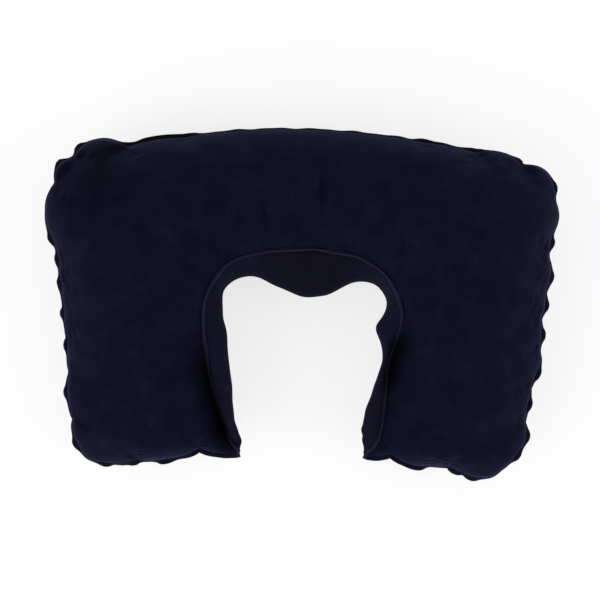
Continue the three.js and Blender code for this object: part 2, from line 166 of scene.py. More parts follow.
def outerWeld():
    p = pillow
    crown, shoulder = (0, backEdge), (p["crownHalfWidth"], backEdge - p["crownRise"])
    widest = (outerHalf, backEdge - p["shoulderDrop"])
    knee = (p["legEndWidth"] / 2, legEnd + p["legEndRadius"])
    toe = (knee[0] - p["legEndRadius"], legEnd)
    slope = 2 * p["crownRise"] / p["crownHalfWidth"]
    lean = (widest[0] - knee[0]) / (widest[1] - knee[1])
    reach = p["shoulderFullness"] * (widest[0] - shoulder[0])
    lift, turn = handle * (shoulder[1] - widest[1]), handle * p["legEndRadius"]
    radius = p["legEndRadius"]
    return np.vstack([
        bezier(crown, (shoulder[0] / 2, backEdge), shoulder),
        bezier(shoulder, (shoulder[0] + reach, shoulder[1] - reach * slope),
               (widest[0], widest[1] + lift), widest)[1:],
        bezier(widest, (widest[0], widest[1] - radius),
               (knee[0] + lean * radius, knee[1] + radius), knee)[1:],
        bezier(knee, (knee[0] - lean * turn, knee[1] - turn), (toe[0] + turn, toe[1]), toe)[1:],
    ])


def neckWeld():
    p = pillow
    side = (p["neckWidth"] / 2, backEdge - p["bandDepth"] - p["neckRise"])
    tip = (p["tipGap"] / 2, legEnd + p["tipRise"])
    turn = np.linspace(0, math.pi / 2, 160)
    arc = np.stack([side[0] * np.sin(turn), side[1] + p["neckRise"] * np.cos(turn)], 1)
    lead = (lerp(tip[0], side[0], p["legDraw"]), tip[1] + p["legBow"])
    return np.vstack([arc, bezier(side, (side[0], side[1] - p["legBow"]), lead, tip)[1:]])


def roundRim(index):
    # up the left leg's end, along the outer weld and down the right leg's end
    return np.concatenate([index[0, :-1], index[:, -1], index[-1, -2::-1]])


# The band of both panels: rows run from the left leg end to the right one, columns outwards
halfRows, columns = pillow["halfRows"], pillow["columns"]
rowCount, rowSize = 2 * halfRows + 1, columns + 1
stepShare = np.abs(np.arange(-halfRows, halfRows + 1)) / halfRows
place = lerp(stepShare, np.sin(stepShare * math.pi / 2), pillow["rowCrowding"])
side = np.where(np.arange(rowCount) < halfRows, -1.0, 1.0)
index = np.arange(rowCount * rowSize).reshape(rowCount, rowSize)
outline = roundRim(index)
neckLine = index[:, 0]
middleOfOutline = columns + halfRows


def bandQuads(rows, size):
    grid = np.arange(rows * size).reshape(rows, size)
    return np.stack([grid[:-1, :-1], grid[1:, :-1], grid[1:, 1:], grid[:-1, 1:]], -1).reshape(-1, 4)


def trianglesOf(quads):
    return np.vstack([quads[:, [0, 1, 2]], quads[:, [0, 2, 3]]])


def links(points, triangles):
    # cotangent weights of a flat mesh, and each vertex's share of its area
    pairs, weights, area = [], [], np.zeros(len(points))
    for k in range(3):
        a, b, c = (triangles[:, (k + n) % 3] for n in range(3))
        p, q = points[a] - points[c], points[b] - points[c]
        twice = np.abs(p[:, 0] * q[:, 1] - p[:, 1] * q[:, 0])
        weight = (p * q).sum(1) / np.maximum(twice, 1e-6)
        pairs += [np.stack([a, b], 1), np.stack([b, a], 1)]
        weights += [weight, weight]
        area += np.bincount(c, twice / 3, len(points))
    return np.vstack(pairs), np.maximum(np.concatenate(weights), 1e-4), area


def settle(mesh, held, values, load=0.0, passes=900):
    # conjugate gradients for a stretched film's values, fixed where held is true
    pairs, weights, area = mesh
    free = ~held
    total = np.bincount(pairs[:, 0], weights, len(values))

    def spread(x):
        return free * (total * x - np.bincount(pairs[:, 0], weights * x[pairs[:, 1]], len(x)))

    x = np.where(held, values, 0.0).astype(float)
    residue = free * load * area - spread(x)
    step, size = residue.copy(), residue @ residue
    for _ in range(passes):
        if size < 1e-12:
            break
        spreadStep = spread(step)
        reach = size / (step @ spreadStep)
        x += reach * step
        residue -= reach * spreadStep
        newSize = residue @ residue
        step, size = residue + newSize / size * step, newSize
    return x


def halfWall(share):
    return lerp(pillow["wallHeight"], pillow["tipWallHeight"], share ** pillow["wallTaper"]) / 2


def normalsOf(points, quads):
    face = np.cross(points[quads[:, 2]] - points[quads[:, 0]],
                    points[quads[:, 3]] - points[quads[:, 1]])
    normals = np.zeros_like(points)
    for k in range(4):
        for axis in range(3):
            normals[:, axis] += np.bincount(quads[:, k], face[:, axis], len(points))
    return unit(normals)


print("band: plan and weld line")
neck, outer = walk(neckWeld(), place), walk(outerWeld(), place)
share = np.linspace(0, 1, rowSize)
across = lerp(share, np.sin(share * math.pi / 2) ** 2, pillow["columnCrowding"])[None, :, None]
bothSides = np.stack([side, np.ones(rowCount)], 1)[:, None, :]
plan = (lerp(neck[:, None, :], outer[:, None, :], across) * bothSides).reshape(-1, 2)
edge = plan[outline]
edgeAt = distances(edge)
edgeAt -= edgeAt[middleOfOutline]
edgeStep = unit(np.gradient(edge, axis=0))
edgeOut = np.stack([-edgeStep[:, 1], edgeStep[:, 0]], 1)
pinchAt, pinchDepth = np.array(pinches, float).T
away = np.abs(edgeAt[:, None] - pinchAt[None, :])
scallop = -(pinchDepth * np.exp(-away / pinchReach)).sum(1)


def evened(values, window):
    return np.convolve(np.pad(values, len(window) // 2, mode="edge"), window / window.sum(), "valid")


def alongWeld(at, knots):
    knotAt, value = np.array(knots, float).T
    return np.interp(at, knotAt, value)


def alongNeck(knots, softness=9):
    # knots of a value along the neck weld, smoothed over a few rows
    return evened(alongWeld(neckAt, knots), np.hanning(softness)[1:-1])


shift = evened(alongWeld(edgeAt, drift), np.array([1, 2, 3, 2, 1])) + scallop
shift *= smooth(np.minimum(edgeAt - edgeAt[0], edgeAt[-1] - edgeAt) / endFade)

neckAt = distances(plan[neckLine])
neckAt -= neckAt[halfRows]
neckStep = unit(np.gradient(plan[neckLine], axis=0))
neckIn = np.stack([neckStep[:, 1], -neckStep[:, 0]], 1)
neckShift = neckIn * alongNeck(neckDrift)[:, None]
neckShift[[0, -1], 1] = 0
sunk = alongNeck(sinking)
phase = np.interp(edgeAt, pinchAt, np.arange(len(pinchAt)))
weldLift = wave["height"] * np.sin(math.pi * phase + wave["phase"]) * alongWeld(edgeAt, wave["shares"])

flatMesh = links(plan, trianglesOf(bandQuads(rowCount, rowSize)))
held = np.zeros(len(plan), bool)
held[outline] = held[neckLine] = True
moved = []
for axis in range(2):
    values = np.zeros(len(plan))
    values[outline] = edgeOut[:, axis] * shift
    values[neckLine] = neckShift[:, axis]
    moved.append(settle(flatMesh, held, values))
plan = plan + np.stack(moved, 1)
lift = np.zeros(len(plan))
lift[outline] = weldLift
lift = settle(flatMesh, held, lift)

print("band: blown up")
mesh = links(plan, trianglesOf(bandQuads(rowCount, rowSize)))
values = np.zeros(len(plan))
values[neckLine] = halfWall(place) ** 2
still = settle(mesh, held, values)
raised = settle(mesh, held, np.zeros(len(plan)), load=1.0)
free = ~held
pressure = ((domeTop ** 2 - still[free]) / raised[free]).min()
height = np.sqrt(np.maximum(still + pressure * raised, 0))
print("dome", round(height.max(), 2), "seam level", round(seamLevel, 2), "weld", round(np.ptp(edgeAt), 1))

# Valve frame: its axis points out of the pillow, its origin is on the film's outer face
valve = {
    "bore": 2.7, "stem": 4.0, "foot": 5.6, "collar": 4.7, "shank": 2.6, "tabReach": 7.2, "tabWidth": 3.6,
    "recess": 8.3, "disc": 12.8, "seat": 14.8,
    "discTop": -0.9, "discThickness": 0.8, "moulding": 0.3,
    "capTop": -0.2, "capBase": -1.5, "collarThickness": 1.4, "shankLength": 6.5,
    "travel": 12.0, "footThickness": 0.9, "skin": 0.5, "rimWidth": 3.0, "flapMargin": 0.9,
    "sleeveTaper": 1.2, "sleeveRolls": 5, "rollDepth": 0.22, "rimRound": (0.4, 0.5),
    "floorRound": (0.5, 0.6), "rimBack": 0.6, "gripRibs": 24, "ribWidth": 0.2, "ribHeight": 0.5,
    "ribSink": 0.06, "boreFlare": (0.35, 0.5), "shankTip": 0.65, "dimple": 0.25, "dimpleRim": (0.45, 0.7),
    "tabRoot": 2.8, "tabGrooves": (5.2, 5.8, 6.4), "grooveWidth": 0.35, "grooveDepth": 0.18,
    "strapWidth": 1.4, "strapThickness": 0.5, "strapTurn": 150.0, "strapSag": 2.4,
    "strapLevel": -1.7, "sharpAngle": 40.0,
}
axis = Vector(joints["stem_slide"]["axis"]).normalized()
axis = axis if axis.z < 0 else -axis
discBox = [np.array(c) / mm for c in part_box("valve_weld_disc")]
discLevel = valve["discTop"] - valve["discThickness"] / 2
turnToValve = np.array(Vector((0, 0, 1)).rotation_difference(axis).to_matrix())
valveOrigin = (discBox[0] + discBox[1]) / 2 - discLevel * np.array(axis)


def toValve(points):
    return (points - valveOrigin) @ turnToValve


def fromValve(points):
    return np.asarray(points, float) @ turnToValve.T + valveOrigin


def meshObject(name, points, faces, finishes=(), finishOf=None):
    data = bpy.data.meshes.new(name)
    if isinstance(faces, np.ndarray):
        faces = [f[:3] if f[2] == f[3] else f for f in faces.tolist()]
    data.from_pydata((np.asarray(points) * mm).tolist(), [], faces)
    for finish in finishes:
        data.materials.append(finish)
    if finishOf is not None:
        data.polygons.foreach_set("material_index", np.asarray(finishOf, np.int32))
    data.polygons.foreach_set("use_smooth", np.ones(len(data.polygons), bool))
    data.update()
    piece = bpy.data.objects.new(name, data)
    scene.collection.objects.link(piece)
    return piece


# Blowing up: cloth held at its welds, slightly larger than its frame, with air behind it
air = {
    "frames": 24, "scale": 10.0, "quality": 6, "mass": 0.3, "stretch": 15.0, "shear": 5.0, "bend": 0.5,
    "damping": 5.0, "bendDamping": 0.5, "drag": 1.0, "holdLevels": 10,
}


def blowUp(name, points, quads, hold, growth, pressure, cap):
    scale = air["scale"]
    piece = meshObject(name, points * scale, quads)
    group = piece.vertex_groups.new(name="hold")
    levels = np.round(hold * air["holdLevels"]) / air["holdLevels"]
    for level in np.unique(levels):
        if level > 0:
            group.add(np.nonzero(levels == level)[0].tolist(), float(level), "REPLACE")
    cloth = piece.modifiers.new("air", "CLOTH")
    s = cloth.settings
    s.quality = air["quality"]
    s.mass = air["mass"]
    s.tension_stiffness = s.compression_stiffness = air["stretch"]
    s.shear_stiffness = air["shear"]
    s.bending_stiffness = air["bend"]
    s.tension_damping = s.compression_damping = s.shear_damping = air["damping"]
    s.bending_damping = air["bendDamping"]
    s.air_damping = air["drag"]
    s.vertex_group_mass = "hold"
    s.pin_stiffness = 1.0
    s.shrink_min = -growth
    s.use_pressure = True
    s.uniform_pressure_force = pressure
    s.effector_weights.gravity = 0
    cloth.collision_settings.use_collision = False
    cloth.collision_settings.use_self_collision = False
    cloth.point_cache.frame_start, cloth.point_cache.frame_end = 1, air["frames"]
    scene.frame_end = air["frames"]
    for step in range(1, air["frames"] + 1):
        scene.frame_set(step)
    done = piece.evaluated_get(bpy.context.evaluated_depsgraph_get()).data
    out = np.zeros(len(points) * 3, np.float32)
    done.vertices.foreach_get("co", out)
    out = out.reshape(-1, 3).astype(float) / mm / scale
    scene.frame_set(1)
    bpy.data.objects.remove(piece)
    move = out - points
    far = np.linalg.norm(move, axis=1, keepdims=True)
    print(name, "moved", round(float(far.mean()), 2), "mm, most", round(float(far.max()), 2))
    return points + move * np.minimum(1, cap / np.maximum(far, 1e-9))


def refine(grid):
    # halves the steps of a grid of points both ways, on smooth curves through them
    for _ in range(2):
        ends = np.concatenate([[2 * grid[0] - grid[1]], grid, [2 * grid[-1] - grid[-2]]])
        middle = (9 * (ends[1:-2] + ends[2:-1]) - ends[:-3] - ends[3:]) / 16
        fine = np.zeros((2 * len(grid) - 1,) + grid.shape[1:])
        fine[::2], fine[1::2] = grid, middle
        grid = fine.swapaxes(0, 1)
    return grid


skin = {
    "growth": 0.035, "pressure": 6.0, "cap": 10.0,
    "puckerReach": 18.0, "puckerWidth": 3.0, "puckerSpread": 0.3, "puckerDepth": 0.45,
    "puckerRun": (0.55, 0.22), "puckerShare": (0.3, 0.25),  # at no depth, and more for each mm of it
    "foldDepth": 1.3, "foldSpread": 160.0, "foldFade": 1.5, "valleyWidth": 8.0,
    "softening": 5, "crownSoftening": 40, "crownRows": 14.0,
    "seatMargin": 3.0, "seatHold": 6.0, "seatBlend": 16.0, "seatHeight": -40.0,
}
# Folds of the front panel above the neck weld: [mm along the weld, from and to mm off it, width, depth]
folds = [
    [-128, 14, 50, 4.0, 0.5], [-100, 10, 52, 3.6, 0.5], [-77, 6, 34, 3.0, 0.8], [-69, 8, 38, 2.6, 0.7],
    [-60, 8, 34, 2.6, 0.8], [-42, 14, 42, 2.6, 0.7], [-27, 8, 46, 2.2, 1.1], [12, 12, 70, 2.4, 1.4],
    [22, 24, 50, 2.2, 0.7], [36, 14, 44, 2.6, 0.8], [62, 8, 32, 3.0, 0.5], [82, 6, 28, 3.0, 0.5],
    [96, 8, 32, 3.2, 0.5], [150, 28, 66, 4.0, 0.5],
]
print("band: puckers")
near = np.linalg.norm(plan[:, None, :] - plan[outline][None, :, :], axis=2)
nearest, edgeFar = near.argmin(1), near.min(1)
alongEdge = edgeAt[nearest]
crease = np.zeros(len(plan))
runs, shares = skin["puckerRun"], skin["puckerShare"]
for at, depth in pinches:
    width = skin["puckerWidth"] + skin["puckerSpread"] * edgeFar
    reach = skin["puckerReach"] * (runs[0] + runs[1] * depth)  # a deeper pinch runs further in
    fold = np.exp(-((alongEdge - at) / width) ** 2 - (edgeFar / reach) ** 2)
    crease = np.maximum(crease, fold * min(1, shares[0] + shares[1] * depth))
height = height * (1 - skin["puckerDepth"] * crease)
bandFaces = bandQuads(rowCount, rowSize)

# the front weld lies deeper than its skins where the legs bulge over it
fromNeck = np.linalg.norm(plan[:, None, :] - plan[neckLine][None, :, :], axis=2)
nearNeck, neckFar = fromNeck.argmin(1), fromNeck.min(1)
valley = sunk[nearNeck] * np.exp(-(neckFar / skin["valleyWidth"]) ** 2)
frontBand = np.column_stack([plan, seamLevel + lift + height - valley])
backBand = np.column_stack([plan, seamLevel + lift - height])

# the back panel is flat round the valve
local = toValve(backBand)
fromAxis = np.hypot(local[:, 0], local[:, 1])


def roundSeat(margin):
    near = 1 - smooth((fromAxis - valve["seat"] - margin) / skin["seatBlend"])
    return near * (local[:, 2] > skin["seatHeight"])


backHold = roundSeat(skin["seatHold"])
local[:, 2] = lerp(local[:, 2], -outerFace, roundSeat(skin["seatMargin"]))
backBand = fromValve(local)
hold = held.astype(float)


def foldAt(alongAt, far, fold):
    at, near, end, width, depth = fold
    reach = np.clip((far - near) / (end - near), 0, 1)
    across = np.exp(-((alongAt - at) * (1 + far / skin["foldSpread"]) / width) ** 2)
    return depth * across * np.sin(math.pi * reach) ** skin["foldFade"]


def soften(before, after, passes):
    # evens out how far the air has moved each point, most of all across the middle of the crown
    move = (after - before).reshape(rowCount, -1, 3)
    middle = np.exp(-((np.arange(rowCount) - halfRows) / skin["crownRows"]) ** 2)[:, None, None]
    for step in range(max(passes)):
        inner = move.copy()
        inner[1:-1] = (move[:-2] + 2 * move[1:-1] + move[2:]) / 4
        inner[:, 1:-1] = (inner[:, :-2] + 2 * inner[:, 1:-1] + inner[:, 2:]) / 4
        inner[:, [0, -1]], inner[[0, -1]] = move[:, [0, -1]], move[[0, -1]]
        move = inner if step < min(passes) else lerp(move, inner, middle)
    return before + move.reshape(-1, 3)


def blown(name, points, faces, hold, sizes, passes):
    after = blowUp(name, points, faces, hold, sizes["growth"], sizes["pressure"], sizes["cap"])
    return soften(points, after, passes)


softness = (skin["softening"], skin["crownSoftening"])
frontBand = blown("frontAir", frontBand, bandFaces, hold, skin, softness)
for fold in folds:
    frontBand[:, 2] -= skin["foldDepth"] * foldAt(neckAt[nearNeck], neckFar, fold)
backHold = np.maximum(hold, backHold)
backBand = blown("backAir", backBand, bandFaces[:, ::-1], backHold, skin, softness)
print("front top", round(frontBand[:, 2].max(), 1), "back low", round(backBand[:, 2].min(), 1))

# The neck wall, bowed into the opening: [mm along the neck weld from the middle, bow]
wall = {
    "bows": [
        [-211, 4], [-206, 8], [-200, 9.6], [-190, 10.2], [-176, 13], [-160, 16.2], [-136, 17],
        [-116, 17.6], [-104, 16], [-92, 13.2], [-82, 8.6], [-73, 5], [-64, 6.4], [-54, 7.4], [-46, 9.4],
        [-38, 14], [-30, 20.4], [-20, 26.0], [-10, 30.3], [0, 32.6], [6, 32.9], [12, 32.5], [24, 29.7],
        [34, 24], [42, 18], [50, 11.6], [60, 5.4], [70, 2.6], [78, 3.4], [88, 7.4], [98, 13.4],
        [106, 17.4], [112, 18.8], [119, 13.4], [128, 6], [137, 1.9], [150, 5.3], [162, 9.8],
        [174, 15.8], [184, 17.2], [194, 17.2], [202, 16], [208, 10.4], [211, 4]],
    "tipBow": 0.45, "tipReach": 4.5, "sag": 0.12, "brow": 0.9, "browReach": 0.55, "browFade": 1.2,
    "growth": 0.02, "pressure": 4.0, "cap": 5.0, "softening": 14, "bowRows": 11, "turnRows": 35,
}
print("neck wall")
frontWeld = frontBand[neckLine]
backWeld = backBand[neckLine]
bow = alongNeck(wall["bows"], wall["bowRows"])
fromTip = np.minimum(neckAt - neckAt[0], neckAt[-1] - neckAt)
bow *= lerp(wall["tipBow"], 1, smooth(fromTip / wall["tipReach"]))
neckStep = unit(np.gradient(plan[neckLine], axis=0))
neckStep = unit(np.stack([evened(part, np.hanning(wall["turnRows"])[1:-1]) for part in neckStep.T], 1))
neckOut = np.column_stack([neckStep[:, 1], -neckStep[:, 0], np.zeros(rowCount)])
down = np.linspace(0, 1, pillow["wallColumns"] + 1)
profile = np.sin(math.pi * down ** (1 - wall["sag"]))
wallGrid = lerp(frontWeld[:, None, :], backWeld[:, None, :], down[None, :, None])
wallGrid = wallGrid + neckOut[:, None, :] * (bow[:, None] * profile[None, :])[..., None]
# its top stands up past the sunk weld
brow = np.sin(math.pi * np.clip(down / wall["browReach"], 0, 1)) ** wall["browFade"]
wallGrid[..., 2] += wall["brow"] * sunk[:, None] * brow[None, :]
wallSize = len(down)
wallHold = np.zeros((rowCount, wallSize))
wallHold[:, [0, -1]] = 1
wallHold[[0, -1]] = 1
wallFaces = bandQuads(rowCount, wallSize)[:, ::-1]
wallPoints = wallGrid.reshape(-1, 3)
wallPoints = blown("wallAir", wallPoints, wallFaces, wallHold.ravel(), wall, (wall["softening"],) * 2)

# Sheets with their flanges and lips, then their thickness
frontFine, backFine, wallFine = (refine(points.reshape(rowCount, -1, 3))
                                 for points in (frontBand, backBand, wallPoints))
fineRows, fineSize = frontFine.shape[:2]
fineIndex = np.arange(fineRows * fineSize).reshape(fineRows, fineSize)
fineOutline = roundRim(fineIndex)
fineNeck = fineIndex[:, 0]


def strip(points, faces, line, columnsOut):
    # adds points beyond a line of the sheet: one array of them for each step out
    first = len(points)
    added = np.concatenate(columnsOut)
    count = len(line)
    ids = np.vstack([line, first + np.arange(len(added)).reshape(-1, count)])
    quads = np.stack([ids[:-1, :-1], ids[:-1, 1:], ids[1:, 1:], ids[1:, :-1]], -1).reshape(-1, 4)
    return np.vstack([points, added]), np.vstack([faces, quads]), ids


flange = {
    "steps": [0.5, 1.4, 2.6, 3.7, 4.0], "pinchCurl": 0.45, "humpCurl": 1.15, "rootTilt": (0.45, 0.55),
    "flutter": 0.12, "waves": (5.1, 2.9), "shortWave": 0.6,
    "curls": [[-532, .3], [-500, 1], [-150, 1], [-128, .1], [-100, .1], [-84, .55],
              [84, .55], [130, .5], [160, 1], [500, 1], [532, .3]],
    "rimStep": 3, "bareStep": 1, "bareFrom": -283, "bareTo": -102, "corner": (1.5, 0.9, 0.5),
}
lip = {"steps": [0.5, 1.3, 2.3, 3.2, 3.5], "flutter": 0.25, "waves": (6.3, 23.0)}
edgeLine = frontFine.reshape(-1, 3)[fineOutline]
fineAt = distances(edgeLine[:, :2])
fineAt -= fineAt[(fineSize - 1) + (fineRows - 1) // 2]


def outwards(line, turn):
    # level, at right angles to the line, to its left (1) or right (-1)
    step = unit(np.gradient(line[:, :2], axis=0))
    return turn * np.column_stack([-step[:, 1], step[:, 0], np.zeros(len(line))])


def tilted(line, out, reach, angle):
    return line + out * (reach * np.cos(angle))[:, None] + [0, 0, 1.0] * (reach * np.sin(angle))[:, None]


def flangeColumns():
    # the flange waves up and down as the pinches draw its weld line up
    away = np.abs(fineAt[:, None] - pinchAt[None, :]).min(1)
    strength = alongWeld(fineAt, flange["curls"])
    curl = flange["pinchCurl"] + flange["humpCurl"] * (1 - np.exp(-(away / pinchReach) ** 2))
    long, short = flange["waves"]
    flutter = np.sin(fineAt / long) + flange["shortWave"] * np.sin(fineAt / short + 1)
    tilt = flange["flutter"] * (0.5 + 0.5 * strength) * flutter - strength * curl
    out = outwards(edgeLine, 1)
    root, further = flange["rootTilt"]
    return [tilted(edgeLine, out, reach, tilt * (root + further * reach / flange["steps"][-1]))
            for reach in flange["steps"]]


def lipColumns(line, turn):
    at = distances(line)
    short, long = lip["waves"]
    flutter = lip["flutter"] * np.sin(at / short) * np.sin(at / long + 1)
    rise = turn * (math.radians(pillow["lipRise"]) + flutter)
    out = outwards(line, -1)
    return [tilted(line, out, reach, rise) for reach in lip["steps"]]


def panelSheet(fine, turn):
    # turn is 1 for the front panel and -1 for the back one, whose faces are turned over later
    points, faces = fine.reshape(-1, 3), bandQuads(fineRows, fineSize)
    bandCount = len(faces)
    points, faces, flangeIds = strip(points, faces, fineOutline, flangeColumns())
    flangeCount = len(faces) - bandCount
    lips = [column[::-1] for column in lipColumns(fine[:, 0], turn)]
    points, faces, lipIds = strip(points, faces, fineNeck[::-1], lips)
    corners = []
    for a, b in ((flangeIds[:, 0], lipIds[:, -1]), (lipIds[:, 0], flangeIds[:, -1])):
        # the corner between flange and lip is filled out square
        steps = len(a) - 1
        reach = points[a[1:]] + points[b[1:]] - points[a[0]] * 2
        c = np.concatenate([a[:1], len(points) + np.arange(steps)])
        points = np.vstack([points, points[a[0]] + reach * flange["corner"]])
        for near, far in ((a, c), (c, b)):
            corners.append([near[0], near[1], far[1], far[1]])
            corners += [[near[k], near[k + 1], far[k + 1], far[k]] for k in range(1, steps)]
    faces = np.vstack([faces, corners])
    finishOf = np.full(len(faces), 2)
    finishOf[:bandCount] = 0
    # only the flange's rim is melted bare, and nearly all of it along the left of the crown
    bare = np.zeros((len(flange["steps"]), len(fineOutline) - 1), int)
    bare[flange["rimStep"]:] = 1
    bare[flange["bareStep"]:, (fineAt[:-1] >= flange["bareFrom"]) & (fineAt[:-1] < flange["bareTo"])] = 1
    finishOf[bandCount:bandCount + flangeCount] = bare.ravel()
    return points, faces, finishOf


def openEdges(faces):
    pairs = np.vstack([faces[:, [k, (k + 1) % 4]] for k in range(4)])
    pairs = pairs[pairs[:, 0] != pairs[:, 1]]
    key = np.sort(pairs, axis=1)
    key = key[:, 0] * (pairs.max() + 1) + key[:, 1]
    _, first, count = np.unique(key, return_index=True, return_counts=True)
    return pairs[first[count == 1]]


def turnedOver(faces):
    over = faces[:, ::-1].copy()
    pinched = faces[:, 2] == faces[:, 3]
    over[pinched] = faces[pinched][:, [2, 1, 0, 0]]
    return over


def film(points, faces, finishOf):
    # a closed skin on the side that the sheet's faces point to; nothing goes below the ground
    normals = normalsOf(points, faces)
    inner = points + normals * pillow["weldGap"] / 2
    outer = points + normals * outerFace
    inner[:, 2] = np.maximum(inner[:, 2], pillow["film"])
    outer[:, 2] = np.maximum(outer[:, 2], 0)
    rim = openEdges(faces)
    n = len(points)
    sides = np.column_stack([rim[:, 0], rim[:, 1], rim[:, 1] + n, rim[:, 0] + n])
    every = np.vstack([faces + n, turnedOver(faces), sides])
    finishAt = np.zeros(n, int)
    finishAt[faces[finishOf > 0]] = finishOf[finishOf > 0][:, None]
    sideFinish = np.maximum(finishAt[rim[:, 0]], 1)
    return (np.vstack([inner, outer]), every,
            np.concatenate([finishOf, np.zeros(len(faces), int), sideFinish]))


seat = {
    "cut": 17.8, "otherSide": -30, "outer": 15.6, "blends": (0.4, 0.75), "settling": 1.15, "weldFrom": 12.8,
    # [radius, height] of the film round the valve, with its two weld grooves
    "rings": [[15.6, 0], [14.6, 0], [13.6, 0], [13.0, 0], [12.8, -.12], [12.5, -.16], [12.2, -.12],
              [12.0, 0], [11.2, .05], [10.3, .07], [9.6, .05], [9.3, 0], [9.1, -.1], [8.9, -.1],
              [8.7, 0], [valve["recess"], 0]],
}


def withSeat(points, faces, finishOf):
    # swaps the film round the valve for a flat ring with the hole in its middle
    near = toValve(points)
    close = (np.hypot(near[:, 0], near[:, 1]) < seat["cut"]) & (near[:, 2] > seat["otherSide"])
    dropped = close[faces].any(1)
    loopEdges = dict(openEdges(faces[dropped]).tolist())
    loop = [next(iter(loopEdges))]
    while loopEdges[loop[-1]] != loop[0]:
        loop.append(loopEdges[loop[-1]])
    near, size = near[loop], len(loop)
    turns = np.arctan2(near[:, 1], near[:, 0])
    even = np.linspace(0, 2 * math.pi, size, endpoint=False) * np.sign(np.unwrap(turns)[-1] - turns[0])
    even += np.angle(np.exp(1j * (turns - even)).mean())
    toEven = np.angle(np.exp(1j * (even - turns)))
    rings = []
    for part in seat["blends"]:
        radius = lerp(np.hypot(near[:, 0], near[:, 1]), seat["outer"], part)
        level = lerp(near[:, 2], -outerFace, smooth(part * seat["settling"]))
        rings.append((turns + toEven * part, radius, level))
    rings += [(even, radius, np.full(size, height - outerFace)) for radius, height in seat["rings"]]
    added = [fromValve(np.column_stack([radius * np.cos(at), radius * np.sin(at), height]))
             for at, radius, height in rings]
    ids = np.vstack([loop, len(points) + np.arange(len(added) * size).reshape(-1, size)])
    quads = [np.stack([a, np.roll(a, -1), np.roll(b, -1), b], 1) for a, b in zip(ids, ids[1:])]
    welded = 2 + [ring[0] for ring in seat["rings"]].index(seat["weldFrom"])
    quadFinish = np.repeat((np.arange(len(quads)) >= welded).astype(int), size)
    points = np.vstack([points] + added)
    faces = np.vstack([faces[~dropped]] + quads)
    used = np.unique(faces)
    renumber = np.zeros(len(points), int)
    renumber[used] = np.arange(len(used))
    return points[used], renumber[faces], np.concatenate([finishOf[~dropped], quadFinish])


def wallSheet():
    points, faces = wallFine.reshape(-1, 3), bandQuads(fineRows, wallFine.shape[1])[:, ::-1]
    wallCount = len(faces)
    ids = np.arange(len(points)).reshape(fineRows, -1)
    points, faces, _ = strip(points, faces, ids[:, 0], lipColumns(frontFine[:, 0], 1))
    lips = [column[::-1] for column in lipColumns(backFine[:, 0], -1)]
    points, faces, _ = strip(points, faces, ids[::-1, -1], lips)
    return points, faces, np.concatenate([np.zeros(wallCount, int), np.full(len(faces) - wallCount, 2)])


# Finishes
def node(tree, kind, inputs=None, **settings):
    made = tree.nodes.new(kind)
    for key, value in settings.items():
        setattr(made, key, value)
    for key, value in (inputs or {}).items():
        if isinstance(value, bpy.types.NodeSocket):
            tree.links.new(value, made.inputs[key])
        else:
            made.inputs[key].default_value = value
    return made


def newFinish(name):
    finish = bpy.data.materials.new(name)
    finish.use_nodes = True
    tree = finish.node_tree
    tree.nodes.clear()
    shader = node(tree, "ShaderNodeBsdfPrincipled")
    node(tree, "ShaderNodeOutputMaterial", {"Surface": shader.outputs[0]})
    place = node(tree, "ShaderNodeTexCoord").outputs["Object"]
    return finish, tree, shader, place


def noise(tree, place, scale, detail, roughness):
    return node(tree, "ShaderNodeTexNoise", {"Vector": place, "Scale": scale, "Detail": detail,
                                             "Roughness": roughness}).outputs[0]


def ramp(tree, factor, stops):
    made = node(tree, "ShaderNodeValToRGB", {"Fac": factor})
    band = made.color_ramp
    while len(band.elements) < len(stops):
        band.elements.new(0.5)
    for element, (at, colour) in zip(band.elements, stops):
        element.position = at
        element.color = (*(colour if isinstance(colour, tuple) else (colour,) * 3), 1)
    return made.outputs[0]


def bumps(tree, shader, patterns, sizes):
    # sizes are [strength, depth in metres] for each pattern, the broadest first
    normal = None
    for height, (strength, distance) in zip(patterns, sizes):
        inputs = {"Height": height, "Strength": strength, "Distance": distance}
        if normal is not None:
            inputs["Normal"] = normal
        normal = node(tree, "ShaderNodeBump", inputs).outputs[0]
    tree.links.new(normal, shader.inputs["Normal"])


def mixed(tree, a, b, factor, blend="MIX"):
    made = node(tree, "ShaderNodeMix", data_type="RGBA", blend_type=blend)
    for socket, value in ((made.inputs[0], factor), (made.inputs[6], a), (made.inputs[7], b)):
        if isinstance(value, bpy.types.NodeSocket):
            tree.links.new(value, socket)
        else:
            socket.default_value = value
    return made.outputs[2]


def surface(tree, shader, colour, pattern, look):
    tree.links.new(colour, shader.inputs["Base Color"])
    smoothest, roughest = look["roughness"]
    tree.links.new(ramp(tree, pattern, [(0.3, smoothest), (0.7, roughest)]), shader.inputs["Roughness"])
    shader.inputs["Specular IOR Level"].default_value = look["specular"]


def sums(tree, operation, *values):
    return node(tree, "ShaderNodeMath", dict(enumerate(values)), operation=operation).outputs[0]


def paintedCreaseShade(tree, shader, depth):
    # painted shade: the surface is mixed towards a dark diffuse shader by the crease attribute, at the
    # bottom of the sunk weld's valley and of the folds
    crease = node(tree, "ShaderNodeAttribute", attribute_name="crease").outputs["Fac"]
    paintedShade = node(tree, "ShaderNodeBsdfDiffuse", {"Color": flock["paintedShade"]}).outputs[0]
    both = node(tree, "ShaderNodeMixShader", {0: sums(tree, "MULTIPLY", crease, depth),
                                              1: shader.outputs[0], 2: paintedShade}).outputs[0]
    tree.links.new(both, tree.nodes["Material Output"].inputs["Surface"])


